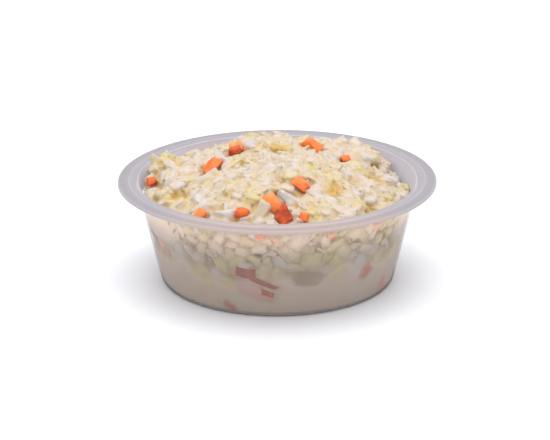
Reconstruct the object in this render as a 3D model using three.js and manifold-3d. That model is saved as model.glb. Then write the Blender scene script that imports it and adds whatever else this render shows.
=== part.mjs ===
// Coleslaw heaped in a round, flanged portion cup of translucent plastic.
// Millimetres, +Z up, origin in the middle of the cup's foot, front towards -Y.
import * as THREE from "three";
import { mergeVertices } from "three/addons/utils/BufferGeometryUtils.js";
import Module from "manifold-3d";

// Driving dimensions of the cup
const RIM_DIAMETER = 100;
const CUP_HEIGHT = 32.8;
const MOUTH_DIAMETER = 87.4; // across the inner wall at the rim
const FOOT_DIAMETER = 73.6; // across the outer wall, carried down to the foot
const WALL = 0.7;

// The flange: a raised inner band, a step down to the outer band, and a lip that turns down
const FLANGE_THICKNESS = 0.8;
const STEP_DIAMETER = 93;
const STEP_DROP = 0.3;
const LIP_WIDTH = 0.8;
const LIP_HEIGHT = 1.3;
const CORNER_ROUNDS = { underFlange: 0.5, lip: 0.3, band: 0.4, step: 0.15, mouth: 0.6 };

// The foot: a ring round a shallow recess
const FOOT_ROUND = 2;
const FOOT_RING_WIDTH = 4.5;
const FOOT_RECESS = 0.6;
const CUP_SEGMENTS = 72;

// The heap: its bare core rises from the wall to a crown above the rim
const GAP = 0.3; // between the heap and the cup
const EDGE_LEVEL = 28.4; // mean height at which the core leaves the wall
const EDGE_SWING = 1.4; // the edge is this much higher at the front, and lower at the back
const EDGE_HIGH_SIDE = -Math.PI / 2;
const CROWN_RISE = 11; // from the edge to the crown
const CROWN_POWER = 2.4; // larger is flatter on top and steeper at the edge
const CORE_SEGMENTS = 48;
const CORE_RINGS = 8;
const SIDE_RINGS = 2;

// Mounds and hollows that stand out on the heap: place, height and spread
const MOUNDS = [
  { name: "back peak", x: -4, y: 20, height: 2, spread: 8 },
  { name: "right back shoulder", x: 23, y: 21, height: 2.6, spread: 6 },
  { name: "right shoulder", x: 31, y: 12, height: 0.8, spread: 6 },
  { name: "left shoulder", x: -38, y: 10, height: 5, spread: 4.5 },
  { name: "left front hollow", x: -27, y: -9, height: -2.2, spread: 5 },
  { name: "front hollow", x: 2, y: -30, height: -1.4, spread: 5 },
];
const MOUND_FADE = 40; // mounds die out towards the wall by this power

// Chopped pieces that show, as smallest and largest sizes
const LEAF = { length: [6, 9.5], width: [4, 6.5], thickness: [0.8, 1.1], columns: 2, rows: 1, wave: 0.8 };
const RIB = { length: [4.5, 7], width: [2.6, 4], thickness: [1.8, 2.8], columns: 1, rows: 1, wave: 0 };
const SHRED = { length: [8, 12], width: [1.5, 2.4], thickness: [1, 1.3], columns: 3, rows: 1, wave: 1.1 };
const CARROT = { length: [4.5, 7], width: [3, 4.4], thickness: [1.6, 2.6], columns: 1, rows: 1, wave: 0 };
const CABBAGE_ORDER = [LEAF, RIB, SHRED, LEAF, RIB];
const CABBAGE_PIECES = 125;
const CABBAGE_REACH = 0.97; // of the core's radius, where the outermost pieces lie
const PULL = 0.985; // a piece that would cross the cup moves in by this factor
const PULL_TRIES = 12;
const CORNER_JITTER = 0.22; // of a piece's width and length, cut off or added at its corners
const WAVE_ANGLE = 2.2; // radians of wave from the middle of a piece to its end
const WAVE_SKEW = 0.4; // how much deeper the wave is along one side of a piece
const TILT = 0.65; // steepest lean of a piece out of the surface, in radians
const LIFT = [0.15, 0.6]; // of its thickness, from the surface to the middle of a piece
const WALL_CLEARANCE = 0.5;
const SLOPE_STEP = 0.5; // over which the slope of the core is taken
const SEED = 20261125;

// Carrot dice on top of the heap, by plan place
const CARROTS = [
  { x: -13, y: 10, length: 4.6 },
  { x: -20, y: -5, length: 6.4 },
  { x: 11.5, y: 13, length: 6 },
  { x: 21.8, y: 5.4, length: 3.6 },
  { x: 7, y: -23, length: 6 },
  { x: -0.7, y: -31, length: 6.6 },
  { x: 2.3, y: -37, length: 6 },
  { x: -23.4, y: -30, length: 5 },
  { x: -10.6, y: -34, length: 4.6 },
  { x: 7.7, y: -38, length: 3.6 },
  { x: -40.5, y: 2, length: 3.6 },
];

const RIM_RADIUS = RIM_DIAMETER / 2;
const MOUTH_RADIUS = MOUTH_DIAMETER / 2;
const FLOOR_LEVEL = FOOT_RECESS + WALL;
const DRAFT = (MOUTH_RADIUS + WALL - FOOT_DIAMETER / 2) / CUP_HEIGHT; // radius gained for each mm of height
const GOLDEN_ANGLE = Math.PI * (3 - Math.sqrt(5));

const wasm = await Module();
wasm.setup();

const outerWall = (z) => FOOT_DIAMETER / 2 + DRAFT * z;
const innerWall = (z) => outerWall(z) - WALL;

// Repeatable random numbers from 0 to 1 (mulberry32).
function randomFrom(seed) {
  let state = seed;
  return () => {
    state = (state + 0x6d2b79f5) | 0;
    let t = Math.imul(state ^ (state >>> 15), 1 | state);
    t = (t + Math.imul(t ^ (t >>> 7), 61 | t)) ^ t;
    return ((t ^ (t >>> 14)) >>> 0) / 4294967296;
  };
}

const draw = (random, [low, high]) => low + (high - low) * random();

// A corner of an outline, replaced by an arc of that radius in that many steps.
function roundedCorner(before, corner, after, radius, steps) {
  const toBefore = before.clone().sub(corner).normalize();
  const toAfter = after.clone().sub(corner).normalize();
  const half = Math.acos(toBefore.dot(toAfter)) / 2;
  const middle = toBefore.clone().add(toAfter).normalize();
  const centre = corner.clone().addScaledVector(middle, radius / Math.sin(half));
  const start = corner.clone().addScaledVector(toBefore, radius / Math.tan(half)).sub(centre);
  const turn = Math.sign(start.cross(middle.clone().negate())) * (Math.PI - 2 * half);
  return Array.from({ length: steps + 1 }, (_, i) =>
    start.clone().rotateAround(new THREE.Vector2(), (turn * i) / steps).add(centre),
  );
}

// The cup's section as [radius, height, corner radius, steps], from the foot round the rim to the floor.
function cupProfile() {
  const flangeUnder = CUP_HEIGHT - FLANGE_THICKNESS;
  const bandLevel = CUP_HEIGHT - STEP_DROP;
  const stepRadius = STEP_DIAMETER / 2;
  const lipInside = RIM_RADIUS - LIP_WIDTH;
  const lipUnder = CUP_HEIGHT - LIP_HEIGHT;
  const recessRadius = FOOT_DIAMETER / 2 - FOOT_RING_WIDTH;
  const section = [
    [0, FOOT_RECESS],
    [recessRadius, FOOT_RECESS],
    [recessRadius + FOOT_RECESS, 0],
    [outerWall(0), 0, FOOT_ROUND, 3],
    [outerWall(flangeUnder), flangeUnder, CORNER_ROUNDS.underFlange, 1],
    [lipInside, flangeUnder],
    [lipInside, lipUnder],
    [RIM_RADIUS, lipUnder, CORNER_ROUNDS.lip, 1],
    [RIM_RADIUS, bandLevel, CORNER_ROUNDS.band, 2],
    [stepRadius + STEP_DROP, bandLevel],
    [stepRadius, CUP_HEIGHT, CORNER_ROUNDS.step, 1],
    [MOUTH_RADIUS, CUP_HEIGHT, CORNER_ROUNDS.mouth, 2],
    [innerWall(FLOOR_LEVEL), FLOOR_LEVEL, FOOT_ROUND - WALL, 2],
    [0, FLOOR_LEVEL],
  ];
  const corners = section.map(([radius, z]) => new THREE.Vector2(radius, z));
  return section.flatMap(([, , radius, steps], i) =>
    radius ? roundedCorner(corners[i - 1], corners[i], corners[i + 1], radius, steps) : [corners[i]],
  );
}

function cupGeometry() {
  return new THREE.LatheGeometry(cupProfile(), CUP_SEGMENTS).rotateX(Math.PI / 2);
}

// Height at which the core meets the wall, on that side of the heap.
const edgeLevel = (angle) => EDGE_LEVEL + EDGE_SWING * Math.cos(angle - EDGE_HIGH_SIDE);
const coreRadius = (angle) => innerWall(edgeLevel(angle)) - GAP;

// Height of the bare core over a place in plan.
function coreHeight(x, y) {
  const angle = Math.atan2(y, x);
  const share = Math.min(1, Math.hypot(x, y) / coreRadius(angle));
  const edge = EDGE_LEVEL + (edgeLevel(angle) - EDGE_LEVEL) * share;
  const crown = CROWN_RISE * (1 - share ** CROWN_POWER);
  const mounds = MOUNDS.reduce(
    (sum, m) => sum + m.height * Math.exp(-((x - m.x) ** 2 + (y - m.y) ** 2) / (2 * m.spread ** 2)),
    0,
  );
  return edge + crown + mounds * (1 - share ** MOUND_FADE);
}

// A closed solid through rings of points, from a lowest point to a highest one.
function loft(lowest, rings, highest) {
  const count = rings[0].length;
  const points = [lowest, ...rings.flat(), highest];
  const at = (ring, i) => 1 + ring * count + (i % count);
  const last = points.length - 1;
  const index = [];
  for (let i = 0; i < count; i++) {
    index.push(0, at(0, i + 1), at(0, i));
    for (let ring = 0; ring + 1 < rings.length; ring++) {
      index.push(at(ring, i), at(ring, i + 1), at(ring + 1, i + 1));
      index.push(at(ring, i), at(ring + 1, i + 1), at(ring + 1, i));
    }
    index.push(at(rings.length - 1, i), at(rings.length - 1, i + 1), last);
  }
  return new THREE.BufferGeometry().setFromPoints(points).setIndex(index);
}

// A point from its distance to the axis, its angle round it and its height.
const polar = (radius, angle, z) => new THREE.Vector3(radius * Math.cos(angle), radius * Math.sin(angle), z);

// The bare core: it stands on the cup's floor, follows the wall up and domes over inside the rim.
function coreGeometry() {
  const bottom = FLOOR_LEVEL + GAP;
  const footTop = bottom + FOOT_ROUND - WALL;
  const angles = Array.from({ length: CORE_SEGMENTS }, (_, i) => (2 * Math.PI * i) / CORE_SEGMENTS);
  const rings = [angles.map((a) => polar(innerWall(footTop) - GAP - FOOT_ROUND, a, bottom))];
  for (let i = 0; i <= SIDE_RINGS; i++) {
    rings.push(
      angles.map((a) => {
        const z = footTop + ((edgeLevel(a) - footTop) * i) / SIDE_RINGS;
        return polar(innerWall(z) - GAP, a, z);
      }),
    );
  }
  for (let i = CORE_RINGS - 1; i > 0; i--) {
    rings.push(
      angles.map((a) => {
        const point = polar((coreRadius(a) * i) / CORE_RINGS, a, 0);
        return point.setZ(coreHeight(point.x, point.y));
      }),
    );
  }
  const crown = new THREE.Vector3(0, 0, coreHeight(0, 0));
  return loft(new THREE.Vector3(0, 0, bottom), rings, crown);
}

// A closed slab of columns by rows, both faces split alike. pointAt(u, v, side) has u and v from -1 to 1.
function slab(columns, rows, pointAt) {
  const points = [];
  const index = [];
  const at = (side, i, j) => (side * (rows + 1) + j) * (columns + 1) + i;
  const quad = (a, b, c, d) => index.push(a, b, c, a, c, d);
  for (const side of [-1, 1]) {
    for (let j = 0; j <= rows; j++) {
      for (let i = 0; i <= columns; i++) {
        points.push(pointAt((2 * i) / columns - 1, (2 * j) / rows - 1, side));
      }
    }
  }
  for (let j = 0; j < rows; j++) {
    for (let i = 0; i < columns; i++) {
      const [a, b, c, d] = [at(0, i, j), at(0, i + 1, j), at(0, i + 1, j + 1), at(0, i, j + 1)];
      const above = at(1, 0, 0);
      index.push(a, c, b, a, d, c);
      quad(a + above, b + above, c + above, d + above);
    }
  }
  for (let i = 0; i < columns; i++) {
    quad(at(0, i, 0), at(0, i + 1, 0), at(1, i + 1, 0), at(1, i, 0));
    quad(at(0, i + 1, rows), at(0, i, rows), at(1, i, rows), at(1, i + 1, rows));
  }
  for (let j = 0; j < rows; j++) {
    quad(at(0, 0, j + 1), at(0, 0, j), at(1, 0, j), at(1, 0, j + 1));
    quad(at(0, columns, j), at(0, columns, j + 1), at(1, columns, j + 1), at(1, columns, j));
  }
  return new THREE.BufferGeometry().setFromPoints(points).setIndex(index);
}

// One chopped piece lying flat at the origin, with uneven corners and, where it is thin, a wave along it.
function choppedPiece(kind, random, length = draw(random, kind.length)) {
  const width = Math.min(draw(random, kind.width), length);
  const thickness = draw(random, kind.thickness);
  const phase = 2 * Math.PI * random();
  const corners = Array.from({ length: 4 }, () => [random() - 0.5, random() - 0.5]);
  return slab(kind.columns, kind.rows, (u, v, side) => {
    const [du, dv] = corners[(u > 0 ? 1 : 0) + (v > 0 ? 2 : 0)];
    const x = (length / 2) * (u + 2 * CORNER_JITTER * du * Math.abs(u));
    const y = (width / 2) * (v + 2 * CORNER_JITTER * dv * Math.abs(v));
    const wave = kind.wave * Math.sin(phase + WAVE_ANGLE * u) * (1 + WAVE_SKEW * v);
    return new THREE.Vector3(x, y, wave + (side * thickness) / 2);
  });
}

// Lays a piece on the core at a place in plan, turned by lean and raised by lift out of the surface.
function layOnCore(geometry, x, y, lean, lift) {
  const slopeX = (coreHeight(x + SLOPE_STEP, y) - coreHeight(x - SLOPE_STEP, y)) / (2 * SLOPE_STEP);
  const slopeY = (coreHeight(x, y + SLOPE_STEP) - coreHeight(x, y - SLOPE_STEP)) / (2 * SLOPE_STEP);
  const normal = new THREE.Vector3(-slopeX, -slopeY, 1).normalize();
  const upright = new THREE.Quaternion().setFromUnitVectors(new THREE.Vector3(0, 0, 1), normal);
  const turn = upright.multiply(new THREE.Quaternion().setFromEuler(lean));
  const place = new THREE.Vector3(x, y, coreHeight(x, y)).addScaledVector(normal, lift);
  return geometry.applyQuaternion(turn).translate(place.x, place.y, place.z);
}

// True if every corner of a piece is inside the wall, and inside the mouth where it stands above the rim.
function clearOfCup(geometry) {
  const position = geometry.getAttribute("position");
  return Array.from({ length: position.count }).every((_, i) => {
    const z = Math.min(position.getZ(i), CUP_HEIGHT);
    return Math.hypot(position.getX(i), position.getY(i)) < innerWall(z) - WALL_CLEARANCE;
  });
}

// A piece on the heap near a place in plan, moved in until it clears the cup.
function pieceOnHeap(kind, x, y, random, length) {
  const piece = choppedPiece(kind, random, length);
  const sideLean = draw(random, [-TILT, TILT]) / 2;
  const endLean = draw(random, [-TILT, TILT]);
  const lean = new THREE.Euler(sideLean, endLean, 2 * Math.PI * random(), "ZXY");
  const lift = kind.thickness[0] * draw(random, LIFT);
  const tries = Array.from({ length: PULL_TRIES }, (_, i) => PULL ** i);
  return tries.map((pull) => layOnCore(piece.clone(), x * pull, y * pull, lean, lift)).find(clearOfCup);
}

// The pieces that show: carrot dice at their places, and cabbage spread evenly between them.
function showingPieces() {
  const random = randomFrom(SEED);
  const carrots = CARROTS.map(({ x, y, length }) => pieceOnHeap(CARROT, x, y, random, length));
  const cabbage = Array.from({ length: CABBAGE_PIECES }, (_, i) => {
    const angle = i * GOLDEN_ANGLE;
    const radius = CABBAGE_REACH * coreRadius(angle) * Math.sqrt((i + 0.5) / CABBAGE_PIECES);
    const kind = CABBAGE_ORDER[i % CABBAGE_ORDER.length];
    return pieceOnHeap(kind, radius * Math.cos(angle), radius * Math.sin(angle), random);
  });
  return [...carrots, ...cabbage].filter((piece) => piece);
}

// A closed geometry as a solid that can be joined.
function solidFrom(geometry) {
  const bare = new THREE.BufferGeometry().setAttribute("position", geometry.getAttribute("position"));
  const merged = mergeVertices(bare.setIndex(geometry.index));
  return new wasm.Manifold(
    new wasm.Mesh({
      numProp: 3,
      vertProperties: new Float32Array(merged.getAttribute("position").array),
      triVerts: new Uint32Array(merged.index.array),
    }),
  );
}

function geometryFrom(solid) {
  const { vertProperties, triVerts } = solid.getMesh();
  return new THREE.BufferGeometry()
    .setAttribute("position", new THREE.BufferAttribute(vertProperties, 3))
    .setIndex(new THREE.BufferAttribute(triVerts, 1));
}

// The heap as one solid: core and pieces joined, with loose scraps dropped and sealed hollows filled.
function heapGeometry() {
  const joined = [coreGeometry(), ...showingPieces()].map(solidFrom).reduce((sum, next) => sum.add(next));
  const bodies = joined.decompose().sort((a, b) => b.volume() - a.volume());
  return geometryFrom(bodies[0]);
}

function namedMesh(name, geometry, material) {
  geometry.computeVertexNormals();
  const mesh = new THREE.Mesh(geometry, new THREE.MeshStandardMaterial(material));
  mesh.name = name;
  return mesh;
}

const plastic = { color: 0xd3d1d6, roughness: 0.35, metalness: 0, transparent: true, opacity: 0.5 };
const slaw = { color: 0xe6cba9, roughness: 0.45, metalness: 0 };

const coleslawCup = new THREE.Group();
coleslawCup.add(namedMesh("cup", cupGeometry(), plastic), namedMesh("coleslaw", heapGeometry(), slaw));

export default coleslawCup;
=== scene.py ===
# %% [markdown]
# # Coleslaw in its portion cup
# A small tub of translucent plastic, heaped with creamy chopped coleslaw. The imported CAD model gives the
# frame: a plain cup and a coarse heap, at their real size. This lesson dresses them. The cup becomes a
# smooth, see-through shell, and the heap becomes dressing with thousands of cabbage and carrot bits in it
# and on it.

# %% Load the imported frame
import math
from contextlib import contextmanager

import bpy
import numpy as np
from mathutils import Matrix, Vector
from mathutils.bvhtree import BVHTree
from mathutils.kdtree import KDTree


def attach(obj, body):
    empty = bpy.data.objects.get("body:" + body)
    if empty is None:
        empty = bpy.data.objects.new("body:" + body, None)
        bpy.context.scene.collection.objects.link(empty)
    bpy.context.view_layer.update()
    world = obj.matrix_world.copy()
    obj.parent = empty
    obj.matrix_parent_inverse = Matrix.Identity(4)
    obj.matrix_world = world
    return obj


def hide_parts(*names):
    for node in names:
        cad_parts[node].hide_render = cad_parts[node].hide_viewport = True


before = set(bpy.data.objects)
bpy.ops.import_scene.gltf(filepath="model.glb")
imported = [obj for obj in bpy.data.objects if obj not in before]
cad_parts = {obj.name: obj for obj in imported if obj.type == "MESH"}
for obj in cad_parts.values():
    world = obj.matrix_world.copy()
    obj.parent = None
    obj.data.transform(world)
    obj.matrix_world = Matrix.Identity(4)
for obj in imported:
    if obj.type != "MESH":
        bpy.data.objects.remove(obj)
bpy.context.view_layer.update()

MM = 0.001  # sizes below are in millimetres, and Blender works in metres

# %% [markdown]
# ## The view
# A long lens, far away, keeps the round rim from looking stretched, as in a product photo. The camera looks
# down on the cup by about twenty degrees. A wide soft light hangs above and a little behind, the room
# around is white, and the floor is plain and pale, so the cup gets a soft shadow on both sides and in
# front.

# %% Camera
IMAGE_WIDTH = 550  # pixels across the picture
FOCAL_PIXELS = 2373.5
SENSOR = 36.0
ELEVATION = math.radians(19.69)
DISTANCE = 750 * MM
AIM = Vector((-0.75 * MM, 0, 18.3 * MM))
ROLL = math.radians(-0.32)

towards_camera = Vector((0, -math.cos(ELEVATION), math.sin(ELEVATION)))
bpy.ops.object.camera_add(location=AIM + DISTANCE * towards_camera)
camera = bpy.context.object
camera.name = "camera"
level = towards_camera.to_track_quat("Z", "Y").to_matrix().to_4x4()
camera.matrix_world = Matrix.Translation(camera.location) @ level @ Matrix.Rotation(ROLL, 4, "Z")
camera.data.sensor_width = SENSOR
camera.data.lens = FOCAL_PIXELS * SENSOR / IMAGE_WIDTH
camera.data.clip_start = 10 * MM
bpy.context.scene.camera = camera
print("camera lens in mm:", round(camera.data.lens, 1))

# %% Floor and light
FLOOR_SIZE = 6.0
LIGHT_HEIGHT = 1.4
LIGHT_BEHIND = 0.1
LIGHT_SIZE = 1.3
LIGHT_WATTS = 11.0
ROOM_STRENGTH = 0.98

bpy.ops.mesh.primitive_plane_add(size=FLOOR_SIZE)
floor = bpy.context.object
floor.name = "floor"
bpy.ops.object.light_add(type="AREA", location=(0, LIGHT_BEHIND, LIGHT_HEIGHT))
softbox = bpy.context.object
softbox.name = "softbox"
softbox.data.size = LIGHT_SIZE
softbox.data.energy = LIGHT_WATTS
softbox.rotation_euler = Vector((0, LIGHT_BEHIND, LIGHT_HEIGHT)).to_track_quat("Z", "Y").to_euler()
room = bpy.data.worlds.new("room")
room.use_nodes = True
background = room.node_tree.nodes["Background"].inputs
background["Color"].default_value = (1, 1, 1, 1)
background["Strength"].default_value = ROOM_STRENGTH
bpy.context.scene.world = room
bpy.context.scene.view_settings.view_transform = "Standard"
print("softbox of", LIGHT_SIZE, "m, room strength", ROOM_STRENGTH)

# %% [markdown]
# ## Shader maths
# A finish is a small network of nodes. Writing it as sums and products is easier to read than adding nodes
# one by one, so a little class wraps a socket: arithmetic on it adds Math nodes, and one method adds any
# other node.

# %% A value on its way through a material
class Value:
    """A socket in a material. Arithmetic on it adds Math nodes."""

    def __init__(self, tree, socket=None):
        self.tree = tree
        self.socket = socket

    def node(self, kind, settings=None, inputs=None, output=0):
        """Adds a node with its settings and inputs, and gives one output."""
        made = self.tree.nodes.new("ShaderNode" + kind)
        for name, setting in (settings or {}).items():
            if name == "stops":
                set_stops(made.color_ramp, setting)
            else:
                setattr(made, name, setting)
        for key, value in (inputs or {}).items():
            set_input(made, key, value)
        return Value(self.tree, made.outputs[output])

    def math(self, operation, first, second):
        return self.node("Math", {"operation": operation}, {0: first, 1: second})

    def __add__(self, other):
        return self.math("ADD", self, other)

    def __sub__(self, other):
        return self.math("SUBTRACT", self, other)

    def __rsub__(self, other):
        return self.math("SUBTRACT", other, self)

    def __mul__(self, other):
        return self.math("MULTIPLY", self, other)

    __radd__ = __add__
    __rmul__ = __mul__


def set_input(node, key, value):
    """Links a Value to a node's input, or sets a plain value on it."""
    if isinstance(value, Value):
        value.tree.links.new(value.socket, node.inputs[key])
    else:
        node.inputs[key].default_value = value


def set_stops(ramp, stops):
    """Gives a colour ramp its stops, as (place, colour)."""
    while len(ramp.elements) < len(stops):
        ramp.elements.new(1.0)
    for element, (place, colour) in zip(ramp.elements, stops):
        element.position = place
        element.color = (*colour, 1.0)


def new_finish(name, **sockets):
    """A material with a Principled shader, plain numbers on its sockets, and a start for its nodes."""
    material = bpy.data.materials.new(name)
    material.use_nodes = True
    shader = material.node_tree.nodes["Principled BSDF"]
    for key, value in sockets.items():
        set_input(shader, key.replace("_", " "), value)
    return material, shader, Value(material.node_tree)


print("shader helpers ready")

# %% [markdown]
# ## The cup
# The real cup is thin injection-moulded plastic: a tapered wall, a foot with a shallow recess, and a wide
# flange with a fine step and a lip that turns down. It is round, so its section is drawn once, by pulling
# one vertex from corner to corner, and spun about the axis. The corners are rounded as arcs before that,
# which keeps the highlights on the rim thin and crisp.

# %% Sizes of the cup, as in the CAD model
RIM_RADIUS = 50.0
CUP_HEIGHT = 32.8
MOUTH_RADIUS = 43.7
FOOT_RADIUS = 36.8
WALL = 0.7
FLANGE_THICKNESS = 0.8
STEP_RADIUS = 46.5
STEP_DROP = 0.3
LIP_WIDTH = 0.8
LIP_HEIGHT = 1.3
FOOT_ROUND = 2.0
FOOT_RING_WIDTH = 4.5
FOOT_RECESS = 0.6
FLOOR_LEVEL = FOOT_RECESS + WALL
FLOOR_EDGE = FOOT_RADIUS - FOOT_RING_WIDTH
LIP_LEVEL = CUP_HEIGHT - LIP_HEIGHT
FOOT_SKIN = 0.5  # plastic under the dressing, along the foot's ring
DRAFT = (MOUTH_RADIUS + WALL - FOOT_RADIUS) / CUP_HEIGHT
SPIN_STEPS = 160


def outer_wall(z):
    return FOOT_RADIUS + DRAFT * z


def inner_wall(z):
    return outer_wall(z) - WALL


def inside_limit(z):
    """Radius of the cup's inside, with its rounded corner at the foot."""
    corner = FOOT_ROUND - WALL
    into_corner = np.clip(FOOT_SKIN + corner - z, 0, corner)
    return inner_wall(z) - corner + np.sqrt(corner**2 - into_corner**2)


print("radius inside the foot and the mouth:", round(inner_wall(0), 1), round(inner_wall(CUP_HEIGHT), 1))

# %% Section helpers
MERGE_WITHIN = 0.002 * MM  # vertices closer than this become one


@contextmanager
def editing():
    """Edit mode, with all of the piece in hand selected."""
    bpy.ops.object.mode_set(mode="EDIT")
    bpy.ops.mesh.select_all(action="SELECT")
    yield
    bpy.ops.object.mode_set(mode="OBJECT")


def started(add, **settings):
    """Adds a primitive at the origin with nothing else selected."""
    bpy.ops.object.select_all(action="DESELECT")
    add(location=(0, 0, 0), **settings)
    return bpy.context.object


def rounded_corner(before, corner, after, radius, steps):
    """Points of an arc in place of a corner of a section."""
    before, corner, after = (np.array(p, float) for p in (before, corner, after))
    back = (before - corner) / np.linalg.norm(before - corner)
    on = (after - corner) / np.linalg.norm(after - corner)
    half = math.acos(np.clip(back @ on, -1, 1)) / 2
    middle = (back + on) / np.linalg.norm(back + on)
    centre = corner + middle * radius / math.sin(half)
    start = corner + back * radius / math.tan(half) - centre
    turn = math.copysign(math.pi - 2 * half, -(start[0] * middle[1] - start[1] * middle[0]))
    aside = np.array((-start[1], start[0]))
    angles = np.linspace(0, turn, steps + 1)
    return [centre + start * math.cos(angle) + aside * math.sin(angle) for angle in angles]


def section_points(corners):
    """A section from its corners, each (radius, height, rounding, steps of the arc)."""
    points = []
    for i, (radius, z, rounding, steps) in enumerate(corners):
        if rounding:
            points += rounded_corner(corners[i - 1][:2], (radius, z), corners[i + 1][:2], rounding, steps)
        else:
            points.append(np.array((radius, z), float))
    return points


def spun(name, points, steps):
    """Pulls one vertex along a section, in mm, and spins it into a closed shell."""
    shell = started(bpy.ops.mesh.primitive_plane_add, size=MM)
    shell.name = name
    with editing():
        bpy.ops.mesh.merge(type="CENTER")
        bpy.ops.transform.translate(value=(points[0][0] * MM, 0, points[0][1] * MM))
        for here, there in zip(points, points[1:]):
            step = (there - here) * MM
            bpy.ops.mesh.extrude_vertices_move(TRANSFORM_OT_translate={"value": (step[0], 0, step[1])})
        bpy.ops.mesh.select_all(action="SELECT")
        bpy.ops.mesh.spin(steps=steps, angle=2 * math.pi, center=(0, 0, 0), axis=(0, 0, 1))
        bpy.ops.mesh.select_all(action="SELECT")
        bpy.ops.mesh.remove_doubles(threshold=MERGE_WITHIN)
        bpy.ops.mesh.normals_make_consistent(inside=False)
    return shell


print("section helpers ready")

# %% The cup's shell
under_flange = CUP_HEIGHT - FLANGE_THICKNESS
lip_inside = RIM_RADIUS - LIP_WIDTH
below_step = CUP_HEIGHT - STEP_DROP
cup_corners = [
    (0, FOOT_RECESS, 0, 0),
    (FLOOR_EDGE, FOOT_RECESS, 0.3, 2),
    (FLOOR_EDGE + FOOT_RECESS, 0, 0.3, 2),
    (outer_wall(0), 0, FOOT_ROUND, 6),
    (outer_wall(under_flange), under_flange, 0.5, 3),
    (lip_inside, under_flange, 0.1, 1),
    (lip_inside, LIP_LEVEL, 0.2, 2),
    (RIM_RADIUS, LIP_LEVEL, 0.25, 3),
    (RIM_RADIUS, below_step, 0.45, 4),
    (STEP_RADIUS + STEP_DROP, below_step, 0.12, 2),
    (STEP_RADIUS, CUP_HEIGHT, 0.12, 2),
    (MOUTH_RADIUS, CUP_HEIGHT, 0.7, 5),
    (inner_wall(FOOT_SKIN), FOOT_SKIN, FOOT_ROUND - WALL, 5),
    (FLOOR_EDGE + FOOT_RECESS, FOOT_SKIN, 0.3, 2),
    (FLOOR_EDGE, FLOOR_LEVEL, 0.3, 2),
    (0, FLOOR_LEVEL, 0, 0),
]
cup = spun("portion_cup", section_points(cup_corners), SPIN_STEPS)
bpy.ops.object.shade_smooth_by_angle(angle=math.radians(40))
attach(cup, "root")
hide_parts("cup")
print("cup:", len(cup.data.polygons), "faces")

# %% [markdown]
# ### The cup's plastic
# Thin natural polypropylene lets light through but scatters it, so what lies behind looks pale and a little
# grey. How solid it looks depends on what is behind it and on how far light goes through it, so the cup
# gets three finishes. Outside, the wall veils the slaw low down and hardly at all towards the rim; its grey
# veil is partly the plastic's own and partly painted shade that darkens the slaw low down. The foot is
# dark, because it stands in its own shadow. Inside, the wall shows only where it is bare, above the slaw. The
# flange is seen nearly edge on and looks almost solid. Its colour holds painted highlight lines at its step
# and at the lip, painted shade on its outer band, and in front a painted warm glow of light from the slaw.

# %% Colours and opacity of the plastic
MIX_A, MIX_B, MIXED = 6, 7, 2  # the colour sockets of a Mix node
# a grey veil: partly the plastic's own, partly painted shade that darkens the slaw low down
OUTSIDE = (0.345, 0.3, 0.275)
OUTSIDE_ALPHA = (0.38, 0.04)  # low down and towards the rim
CLEARER_FROM, CLEARER_TO = 19.0, 28.0
DARK_FOOT = (0.25, 0.2, 0.17)
FOOT_ALPHA = 0.65
FOOT_FROM, FOOT_TO = 0.3, 1.2
# the plastic's tint, painted lighter to offset the shade that the heap casts on the inside wall
INSIDE = (0.57, 0.555, 0.64)
INSIDE_ALPHA = (0.03, 0.93)  # where slaw lies against the wall, and where the wall is bare
BARE_FROM, BARE_TO = 26.6, 28.2  # on the left and right
EDGE_SLOPE = 0.067  # the slaw's edge is higher in front
EDGE_DIP = 3.2  # at one place on the right it is lower by this much
EDGE_DIP_AT = math.radians(11)
EDGE_DIP_REACH = 12.0
FLANGE_ALPHA = 0.88
# painted highlight lines at the step and at the lip's edge, and painted shade on the outer band
FLANGE_HIGHLIGHT_BANDS = [  # place across the flange from the mouth to the lip, and colour
    (0.0, (0.375, 0.35, 0.38)),
    (0.4, (0.385, 0.36, 0.39)),
    (0.455, (0.49, 0.465, 0.495)),
    (0.51, (0.36, 0.335, 0.365)),
    (0.85, (0.335, 0.31, 0.345)),
    (1.0, (0.46, 0.435, 0.46)),
]
# painted light: a warm glow of light from the slaw, painted on the front of the flange
FRONT_GLOW = (1.25, 1.07, 0.94)  # the slaw's light in the front of the flange
GLOW_FROM, GLOW_TO = -30.0, -44.0
print("outside", OUTSIDE, "inside", INSIDE)


# %% Helpers for the plastic
def plastic_finish(name, colour):
    """Translucent moulded plastic: a soft shine and the faint texture of the mould."""
    material, shader, start = new_finish(name, Base_Color=(*colour, 1), IOR=1.49)
    place = start.node("TexCoord", output="Object")
    mould = start.node("TexNoise", inputs={"Vector": place, "Scale": 260.0, "Detail": 3.0})
    set_input(shader, "Roughness", 0.46 + 0.16 * mould)
    bump = start.node("Bump", inputs={"Strength": 0.04, "Distance": 0.2 * MM, "Height": mould})
    set_input(shader, "Normal", bump)
    return material, shader, place


def between_limits(value, low, high, first, last):
    """A length taken from between two limits in mm to between two other values."""
    limits = {"From Min": low * MM, "From Max": high * MM, "To Min": first, "To Max": last}
    return value.node("MapRange", inputs={0: value, **limits})


def coordinate(place, axis):
    return place.node("SeparateXYZ", inputs={0: place}, output=axis)


def mixed(share, first, second):
    """The first colour at a share of 0 and the second at 1."""
    return share.node("Mix", {"data_type": "RGBA"}, {0: share, MIX_A: first, MIX_B: second}, MIXED)


print("plastic helpers ready")

# %% Outside wall
outside_plastic, shader, place = plastic_finish("cup_outside_plastic", OUTSIDE)
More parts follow.
